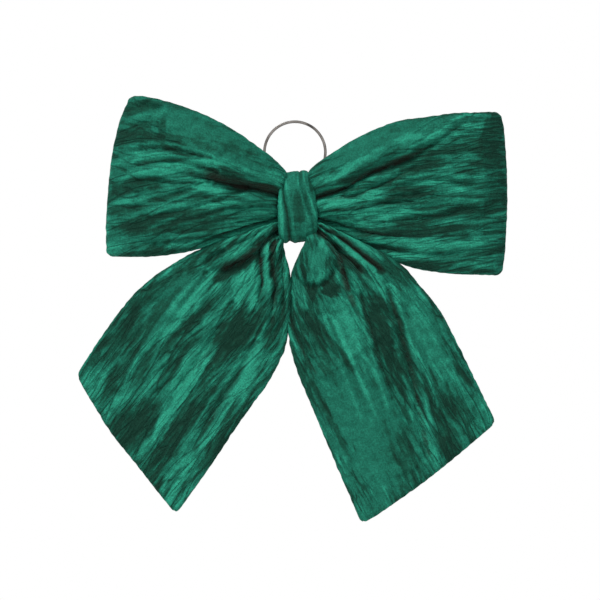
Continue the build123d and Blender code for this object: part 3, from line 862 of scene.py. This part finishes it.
class Nodes:
    """A material's node tree, with short calls for the nodes used here."""

    def __init__(self, name):
        self.material = bpy.data.materials.new(name)
        self.material.use_nodes = True
        self.tree = self.material.node_tree
        self.tree.nodes.clear()
        self.shader = self.add("ShaderNodeBsdfPrincipled")
        out = self.add("ShaderNodeOutputMaterial")
        self.tree.links.new(self.shader.outputs[0], out.inputs["Surface"])

    def add(self, kind, **settings):
        node = self.tree.nodes.new(kind)
        for key, value in settings.items():
            setattr(node, key, value)
        return node

    def link(self, source, target):
        if isinstance(source, (int, float, tuple)):
            target.default_value = source
        else:
            self.tree.links.new(source, target)

    def feed(self, node, **values):
        """Gives each named input a number or a colour, or links it to another node's output."""
        for key, value in values.items():
            self.link(value, node.inputs[key.replace("_", " ")])

    def scaled(self, place, factors):
        scale = self.add("ShaderNodeVectorMath", operation="MULTIPLY")
        self.link(place, scale.inputs[0])
        self.link(factors, scale.inputs[1])
        return scale.outputs[0]

    def band_place(self, along_mm, across_mm, turn=0.0):
        """Place on the flat band turned by some degrees, so that one unit is along_mm by across_mm."""
        uv = self.add("ShaderNodeUVMap", uv_map="Band")
        rotate = self.add("ShaderNodeVectorRotate", rotation_type="Z_AXIS")
        self.feed(rotate, Vector=uv.outputs[0], Angle=radians(turn))
        return self.scaled(rotate.outputs[0], (UV_SIZE / along_mm, UV_SIZE / across_mm, 1))

    def object_place(self, mm):
        return self.scaled(self.add("ShaderNodeTexCoord").outputs["Object"], (1000 / mm,) * 3)

    def noise(self, place, detail=2.0, rough=0.5, distortion=0.0):
        node = self.add("ShaderNodeTexNoise", noise_dimensions="3D")
        self.feed(node, Vector=place, Scale=1.0, Detail=detail, Roughness=rough, Distortion=distortion)
        return node.outputs["Fac"]

    def winding(self, along_mm, across_mm, turn):
        """Thin lines that wander along the band: 0 on a line and 1 away from it."""
        noise = self.noise(self.band_place(along_mm, across_mm, turn), 1.0, 0.5, 0.4)
        return self.ramp(self.math("ABSOLUTE", self.math("SUBTRACT", noise, 0.5)), 0.0, 0.04)

    def ramp(self, value, low, high, to_low=0.0, to_high=1.0):
        node = self.add("ShaderNodeMapRange", interpolation_type="SMOOTHSTEP")
        self.feed(node, Value=value, From_Min=low, From_Max=high, To_Min=to_low, To_Max=to_high)
        return node.outputs["Result"]

    def swing(self, value, amount):
        """Noise about its middle, times an amount."""
        return self.math("MULTIPLY", self.math("SUBTRACT", value, 0.5), amount)

    def math(self, operation, a, b=0.0, clamp=False):
        node = self.add("ShaderNodeMath", operation=operation, use_clamp=clamp)
        self.link(a, node.inputs[0])
        self.link(b, node.inputs[1])
        return node.outputs[0]

    def mix(self, share, a, b):
        node = self.add("ShaderNodeMix", data_type="RGBA")
        self.feed(node, Factor=share, A=a, B=b)
        return node.outputs["Result"]

    def bump(self, height, distance, **under):
        node = self.add("ShaderNodeBump")
        self.feed(node, Strength=1.0, Distance=distance, Height=height, **under)
        return node.outputs["Normal"]

    def set(self, **values):
        self.feed(self.shader, **values)
        return self.material


def crushed_velvet():
    """Emerald velvet whose pile lies both ways in streaks along the band, with painted light in its tone and
    painted shade, brownish near-black, in the creases and under the rolls.
    """
    n = Nodes("crushed_velvet")
    # the pile's tone with painted light laid in it: painted shading of the wrinkles' flanks, painted shade
    # and highlight strokes, painted highlights on crests
    pile_and_light = n.add("ShaderNodeAttribute", attribute_name="NapAndLight").outputs["Fac"]
    streaks = n.noise(n.band_place(22, 4.0), 2.0, 0.5, 0.7)
    threads = n.ramp(n.noise(n.band_place(13, 1.7, -4), 1.0, 0.5, 0.5), 0.3, 0.7)
    lines = n.math("MULTIPLY", n.winding(64, 8.0, 4), n.winding(44, 6.5, -7))
    pile = n.noise(n.object_place(0.95), 3.0, 0.75)
    mottle = n.noise(n.object_place(5.5), 3.0, 0.6)
    calm = n.add("ShaderNodeAttribute", attribute_name="Calm").outputs["Fac"]
    lively = n.math("SUBTRACT", 1.0, n.math("MULTIPLY", calm, 0.9))
    wild = n.math("ADD", n.swing(streaks, 0.58), n.swing(threads, 0.2))
    wild = n.math("SUBTRACT", wild, n.math("MULTIPLY", n.math("SUBTRACT", 1.0, lines), 0.19))
    nap_and_light = n.math("ADD", pile_and_light, n.math("MULTIPLY", wild, lively))
    nap_and_light = n.math("ADD", nap_and_light, n.swing(mottle, 0.45), clamp=True)
    deep, dark = (0.0050, 0.030, 0.019, 1), (0.0056, 0.056, 0.035, 1)
    middle, bright = (0.0086, 0.112, 0.073, 1), (0.018, 0.232, 0.150, 1)
    # painted crease shade: the brownish near-black laid over the colour in the creases and under the rolls,
    # where shade falls
    painted_crease_shade = (0.0165, 0.0150, 0.0110, 1)
    colour = n.mix(n.ramp(nap_and_light, 0.10, 0.34), deep, dark)
    colour = n.mix(n.ramp(nap_and_light, 0.34, 0.54), colour, middle)
    colour = n.mix(n.ramp(nap_and_light, 0.55, 0.92), colour, bright)
    # how much painted shade the crease and roll mask lays on
    crease = n.add("ShaderNodeAttribute", attribute_name="CreaseShade").outputs["Fac"]
    colour = n.mix(n.math("MULTIPLY", n.ramp(crease, 0.2, 0.95), 0.9), colour, painted_crease_shade)
    shade = n.add("ShaderNodeVectorMath", operation="SCALE")
    n.link(colour, shade.inputs[0])
    n.link(n.ramp(pile, 0.25, 0.75, 0.62, 1.38), shade.inputs["Scale"])
    relief = n.math("ADD", n.math("MULTIPLY", lines, 0.5), streaks)
    relief = n.math("ADD", relief, n.math("MULTIPLY", threads, 0.35))
    normal = n.bump(n.math("MULTIPLY", relief, lively), 0.0010)
    normal = n.bump(pile, 0.0004, Normal=normal)
    return n.set(
        Base_Color=shade.outputs[0], Roughness=n.ramp(nap_and_light, 0.0, 1.0, 0.92, 0.7), Normal=normal,
        Specular_IOR_Level=0.08, Sheen_Weight=0.2, Sheen_Roughness=0.4, Sheen_Tint=(0.06, 0.55, 0.38, 1),
    )


def polished_steel():
    """Nickel-plated wire, brighter and duller in soft patches."""
    n = Nodes("polished_steel")
    wear = n.noise(n.object_place(9), 3.0, 0.5)
    colour = n.mix(n.ramp(wear, 0.35, 0.75), (0.14, 0.13, 0.12, 1), (0.085, 0.078, 0.072, 1))
    return n.set(Base_Color=colour, Metallic=1.0, Roughness=n.ramp(wear, 0.3, 0.8, 0.22, 0.34))


def woven_tape():
    """Green tape of plain weave."""
    n = Nodes("woven_tape")
    warp_mm, weft_mm = 0.9, 0.6
    place = n.add("ShaderNodeTexCoord").outputs["Object"]
    split = n.add("ShaderNodeSeparateXYZ")
    n.link(place, split.inputs[0])
    warp = n.math("SINE", n.math("MULTIPLY", split.outputs["X"], 2 * pi / (warp_mm * MM)))
    weft = n.math("SINE", n.math("MULTIPLY", split.outputs["Z"], 2 * pi / (weft_mm * MM)))
    weave = n.ramp(n.math("MULTIPLY", warp, weft), -1.0, 1.0)
    fuzz = n.noise(n.object_place(0.8), 3.0, 0.6)
    colour = n.mix(weave, (0.0025, 0.020, 0.014, 1), (0.008, 0.070, 0.046, 1))
    colour = n.mix(n.math("MULTIPLY", fuzz, 0.35), colour, (0.012, 0.10, 0.066, 1))
    return n.set(
        Base_Color=colour, Roughness=n.ramp(fuzz, 0.2, 0.8, 0.65, 0.85), Normal=n.bump(weave, 0.00018),
        Sheen_Weight=0.3, Sheen_Roughness=0.5,
    )


def twisted_thread():
    """Green sewing thread with its ply showing."""
    n = Nodes("twisted_thread")
    place = n.add("ShaderNodeTexCoord").outputs["Object"]
    turn = n.add("ShaderNodeVectorMath", operation="DOT_PRODUCT")
    n.link(place, turn.inputs[0])
    turn.inputs[1].default_value = (2 * pi / 0.0007, 2 * pi / 0.0011, 2 * pi / 0.0006)
    ply = n.ramp(n.math("SINE", turn.outputs["Value"]), -1.0, 1.0)
    fuzz = n.noise(n.object_place(0.4), 3.0, 0.6)
    colour = n.mix(ply, (0.003, 0.024, 0.016, 1), (0.010, 0.085, 0.055, 1))
    return n.set(
        Base_Color=colour, Roughness=n.ramp(fuzz, 0.2, 0.8, 0.5, 0.75), Normal=n.bump(ply, 0.00012),
        Sheen_Weight=0.2, Sheen_Roughness=0.5,
    )


VELVET, STEEL, TAPE, THREAD = crushed_velvet(), polished_steel(), woven_tape(), twisted_thread()

for piece in velvet_pieces:
    piece.data.materials.clear()
    piece.data.materials.append(VELVET)
for node, material in (
    ("split_ring", STEEL), ("ring_tab", TAPE), ("ring_tab_stitches", THREAD),
    ("knot_closing_stitches", THREAD), ("loop_gather_thread", THREAD),
    ("left_tail_gather_thread", THREAD), ("right_tail_gather_thread", THREAD),
):
    for material_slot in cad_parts[node].material_slots:
        material_slot.material = material


# ---- hide the parts the velvet stands for; the loops and knot ride on the bow

def in_frame(x, y, z):
    return tuple((np.array([x, y, z]) + KNOT_CENTRE) * MM)


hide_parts("loop_cover", "loop_wadding")
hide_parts("loop_cover", "loop_wadding")
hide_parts("left_tail_cover", "left_tail_wadding")
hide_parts("right_tail_cover", "right_tail_wadding")
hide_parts("knot_wrap")
for piece in (left_loop, right_loop, knot):
    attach(piece, "bow")
for piece, body in ((left_tail, "left_tail"), (right_tail, "right_tail")):
    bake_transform(piece)


# ---- camera, light and surroundings

VIEW_WIDTH, CAMERA_AWAY = 0.375, 2.6  # at the bow, in metres
VIEW_MIDDLE = (1.6, 0, -58.1)
camera_data = bpy.data.cameras.new("camera")
camera_data.sensor_width = 36
camera_data.lens = camera_data.sensor_width * CAMERA_AWAY / VIEW_WIDTH
camera = put("camera", camera_data)
camera.location = Vector(in_frame(*VIEW_MIDDLE)) + Vector((0, -CAMERA_AWAY, 0))
camera.rotation_euler = (radians(90), 0, 0)
camera_data.clip_end = 20
bpy.context.scene.camera = camera
bpy.context.scene.view_settings.view_transform = "Standard"


def soft_sun(name, toward, strength, spread):
    """A large soft light from far off, shining along toward, as wide as spread degrees."""
    data = bpy.data.lights.new(name, "SUN")
    data.energy = strength
    data.angle = radians(spread)
    put(name, data).rotation_euler = Vector(toward).to_track_quat("-Z", "Y").to_euler()


soft_sun("key", (0.42, 0.62, -1.0), 3.2, 20)
soft_sun("front", (-0.25, 1.0, -0.25), 1.25, 50)
soft_sun("back", (0.2, -1.0, -0.3), 0.9, 60)


def studio_world():
    """White where the camera sees it and a soft, dim sky to everything else."""
    world = bpy.data.worlds.new("studio")
    bpy.context.scene.world = world
    world.use_nodes = True
    tree = world.node_tree
    tree.nodes.clear()
    path = tree.nodes.new("ShaderNodeLightPath")
    choose = tree.nodes.new("ShaderNodeMixShader")
    tree.links.new(path.outputs["Is Camera Ray"], choose.inputs[0])
    for number, (colour, strength) in enumerate((((0.95, 0.97, 1, 1), 0.22), ((1, 1, 1, 1), 1.0))):
        sky = tree.nodes.new("ShaderNodeBackground")
        sky.inputs["Color"].default_value = colour
        sky.inputs["Strength"].default_value = strength
        tree.links.new(sky.outputs[0], choose.inputs[1 + number])
    out = tree.nodes.new("ShaderNodeOutputWorld")
    tree.links.new(choose.outputs[0], out.inputs["Surface"])


studio_world()

FLOOR_DROP = 0.2  # the bow hangs this far above the floor, in metres
floor_mesh = bpy.data.meshes.new("floor")
floor_mesh.from_pydata([(-1.2, -0.9, 0), (1.2, -0.9, 0), (1.2, 0.7, 0), (-1.2, 0.7, 0)], [], [(0, 1, 2, 3)])
floor = put("floor", floor_mesh)
floor.location = (0, 0, CAD_BOX[0][2] - FLOOR_DROP)
floor_mesh.materials.append(Nodes("pale_floor").set(Base_Color=(0.86, 0.86, 0.85, 1), Roughness=0.8))
